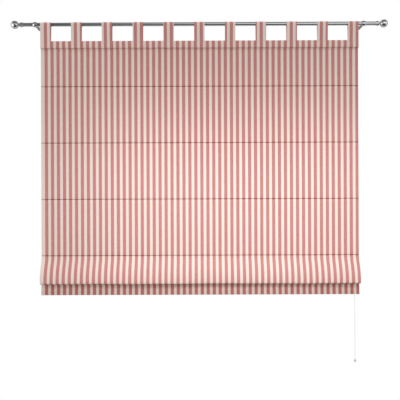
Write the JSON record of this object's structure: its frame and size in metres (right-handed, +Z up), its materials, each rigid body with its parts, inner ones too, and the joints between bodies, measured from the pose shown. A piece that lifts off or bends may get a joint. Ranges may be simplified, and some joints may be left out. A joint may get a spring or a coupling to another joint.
{
  "type": "roman blind",
  "caption": "Tab-top roman blind of striped cloth on a chrome pole with ball finials and wall brackets, drawn up to a forward fold, with a locking pull cord at its right edge.",
  "frame": {"origin": "on the wall plane, midway between the two bracket feet, level with the pole's axis", "axes": "+X to the right along the pole as a viewer in the room sees it, +Y back into the wall, +Z up"},
  "size_m": [1.8984, 0.1268, 1.7294],
  "materials": {
    "pole_chrome": "polished",
    "fitting_steel": "brushed",
    "bar_aluminium": "plain",
    "striped_cloth": "woven red and cream stripes",
    "tab_cloth": "woven red and cream stripes",
    "batten_wood": "planed pine",
    "rod_plastic": "matte",
    "ring_plastic": "smooth",
    "lift_cord": "braided",
    "pull_cord": "braided",
    "lock_plastic": "moulded",
    "knob_plastic": "smooth"
  },
  "bodies": {
    "blind": {"curtain_pole": "pole_chrome", "finial_left": "pole_chrome", "finial_right": "pole_chrome", "bracket_left": "pole_chrome", "bracket_right": "pole_chrome", "bracket_grub_screws": "fitting_steel", "finial_grub_screws": "fitting_steel", "guide_eyes": "fitting_steel", "lock_pulley_pin": "fitting_steel", "lock_cam_pin": "fitting_steel", "lock_screws": "fitting_steel", "hem_bar": "bar_aluminium", "blind_panel": "striped_cloth", "tab_1": "tab_cloth", "tab_2": "tab_cloth", "tab_3": "tab_cloth", "tab_4": "tab_cloth", "tab_5": "tab_cloth", "tab_6": "tab_cloth", "tab_7": "tab_cloth", "tab_8": "tab_cloth", "tab_9": "tab_cloth", "tab_10": "tab_cloth", "tab_11": "tab_cloth", "head_batten": "batten_wood", "batten_1": "rod_plastic", "batten_2": "rod_plastic", "batten_3": "rod_plastic", "batten_4": "rod_plastic", "batten_5": "rod_plastic", "lift_rings_1": "ring_plastic", "lift_rings_2": "ring_plastic", "lift_rings_3": "ring_plastic", "lift_rings_4": "ring_plastic", "lift_cord_1": "lift_cord", "lift_cord_2": "lift_cord", "lift_cord_3": "lift_cord", "lift_cord_4": "lift_cord", "pull_cord": "pull_cord", "lock_housing": "lock_plastic", "cord_joiner": "knob_plastic", "cord_knob": "knob_plastic"},
    "lock_pulley": {"lock_pulley": "fitting_steel"},
    "lock_cam": {"lock_cam": "fitting_steel"}
  },
  "joints": [
    {"name": "lock_pulley_spin", "type": "hinge", "parent": "blind", "child": "lock_pulley", "pos_m": [0.7763, -0.067, -0.1017], "axis": [0, 1, 0], "continuous": true},
    {"name": "lock_cam_swing", "type": "hinge", "parent": "blind", "child": "lock_cam", "pos_m": [0.774, -0.067, -0.1194], "axis": [0, 1, 0], "range_deg": [0, 30]}
  ]
}
